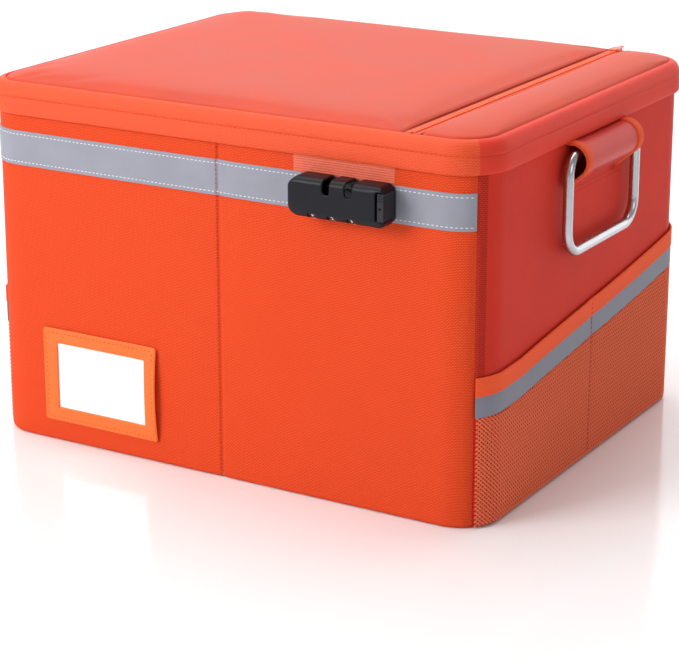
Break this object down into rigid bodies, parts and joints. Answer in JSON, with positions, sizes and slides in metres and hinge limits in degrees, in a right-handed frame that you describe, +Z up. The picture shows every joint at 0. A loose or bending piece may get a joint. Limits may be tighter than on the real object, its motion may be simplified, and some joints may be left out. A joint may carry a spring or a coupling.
{
  "type": "fireproof document box",
  "caption": "Fabric-covered fireproof document box with a zipped lid hinged at the back, combination lock, swinging ring handles in fabric sleeves and mesh end pockets.",
  "frame": {"origin": "middle of the box's base, at the floor", "axes": "+X right along the long front face, +Y from the front to the back, +Z up"},
  "size_m": [0.4346, 0.3518, 0.2675],
  "materials": {
    "woven_orange": "woven polyester canvas, matt",
    "coated_red": "smooth silicone-coated glass cloth, soft sheen",
    "board": "raw fibreboard",
    "liner": "aluminium-faced fireproof cloth, satin",
    "reflective": "grey retroreflective tape, satin",
    "label_leather": "smooth coated leather cloth",
    "clear_film": "clear film",
    "card": "white card",
    "webbing": "ribbed webbing",
    "rail_plastic": "moulded, matt",
    "steel": "zinc-plated",
    "lock_plastic": "black, satin moulded",
    "lock_frame": "black die-cast zinc",
    "dial_plastic": "black with white digits",
    "button_plastic": "dark grey, ribbed",
    "sleeve_fabric": "smooth coated cloth",
    "ring_steel": "satin chrome",
    "mesh": "diamond mesh",
    "elastic": "ribbed elastic",
    "zip_tape": "zip tape",
    "zip_coil": "nylon coil",
    "skirt_fabric": "smooth coated cloth, satin",
    "lid_fabric": "smooth coated cloth, satin",
    "foam": "soft foam",
    "zip_metal": "gunmetal",
    "zip_painted": "painted to match"
  },
  "bodies": {
    "box": {"front_panel": "woven_orange", "back_panel": "woven_orange", "side_panel_right": "coated_red", "side_panel_left": "coated_red", "base_panel": "coated_red", "front_board_right": "board", "front_board_left": "board", "back_board": "board", "side_board_right": "board", "side_board_left": "board", "base_board": "board", "inner_liner": "liner", "rim_binding": "woven_orange", "front_reflector": "reflective", "label_frame": "label_leather", "label_window": "clear_film", "lock_patch": "webbing", "front_rail": "rail_plastic", "back_rail": "rail_plastic", "rail_rivets": "steel", "lock_inner_plate": "steel", "lock_screws": "steel", "lock_mount_plate": "lock_plastic", "lock_case": "lock_plastic", "lock_chassis": "lock_frame", "dial_shaft": "steel", "release_spring": "steel", "sleeve_right": "sleeve_fabric", "sleeve_left": "sleeve_fabric", "sleeve_binding_right": "webbing", "sleeve_binding_left": "webbing", "mesh_pocket_right": "mesh", "mesh_pocket_left": "mesh", "pocket_reflector_right": "reflective", "pocket_reflector_left": "reflective", "pocket_elastic_right": "elastic", "pocket_elastic_left": "elastic", "rim_tape_lower": "zip_tape", "rim_coil_lower": "zip_coil", "hinge_strip": "woven_orange"},
    "lid": {"lid_skirt": "skirt_fabric", "lid_cover": "lid_fabric", "lid_foam": "foam", "lid_board": "board", "lid_liner": "liner", "rim_tape_upper": "zip_tape", "rim_coil_upper": "zip_coil", "lid_zip_tape": "zip_tape", "lid_zip_coil": "zip_coil"},
    "ring_right": {"handle_ring_right": "ring_steel"},
    "ring_left": {"handle_ring_left": "ring_steel"},
    "dial_a": {"dial_1": "dial_plastic"},
    "dial_b": {"dial_2": "dial_plastic"},
    "dial_c": {"dial_3": "dial_plastic"},
    "release": {"release_button": "button_plastic", "lock_bolt": "steel"},
    "rim_zip_right": {"rim_slider_right": "zip_metal"},
    "rim_zip_left": {"rim_slider_left": "zip_metal"},
    "lid_zip": {"lid_slider": "zip_painted"},
    "card": {"label_card": "card"}
  },
  "joints": [
    {"name": "lid_hinge", "type": "hinge", "parent": "box", "child": "lid", "pos_m": [0, 0.1682, 0.24], "axis": [-1, 0, 0], "range_deg": [0, 175]},
    {"name": "ring_right_swing", "type": "hinge", "parent": "box", "child": "ring_right", "pos_m": [0.207, 0, 0.232], "axis": [0, -1, 0], "range_deg": [0, 165]},
    {"name": "ring_left_swing", "type": "hinge", "parent": "box", "child": "ring_left", "pos_m": [-0.207, 0, 0.232], "axis": [0, 1, 0], "range_deg": [0, 165]},
    {"name": "dial_a_turn", "type": "hinge", "parent": "box", "child": "dial_a", "pos_m": [0.084, -0.1754, 0.2082], "axis": [1, 0, 0], "continuous": true},
    {"name": "dial_b_turn", "type": "hinge", "parent": "box", "child": "dial_b", "pos_m": [0.0988, -0.1754, 0.2082], "axis": [1, 0, 0], "continuous": true},
    {"name": "dial_c_turn", "type": "hinge", "parent": "box", "child": "dial_c", "pos_m": [0.1135, -0.1754, 0.2082], "axis": [1, 0, 0], "continuous": true},
    {"name": "release_slide", "type": "slide", "parent": "box", "child": "release", "axis": [1, 0, 0], "range_m": [0, 0.006], "stiffness_N_per_m": 150, "springref_m": -0.004, "deforming": ["release_spring"]},
    {"name": "rim_zip_right_slide", "type": "slide", "parent": "box", "child": "rim_zip_right", "axis": [1, 0, 0], "range_m": [0, 0.055]},
    {"name": "rim_zip_left_slide", "type": "slide", "parent": "box", "child": "rim_zip_left", "axis": [-1, 0, 0], "range_m": [0, 0.055]},
    {"name": "lid_zip_slide", "type": "slide", "parent": "lid", "child": "lid_zip", "axis": [0, -1, 0], "range_m": [0, 0.31]},
    {"name": "card_slide", "type": "slide", "parent": "box", "child": "card", "axis": [1, 0, 0], "range_m": [0, 0.08]}
  ]
}
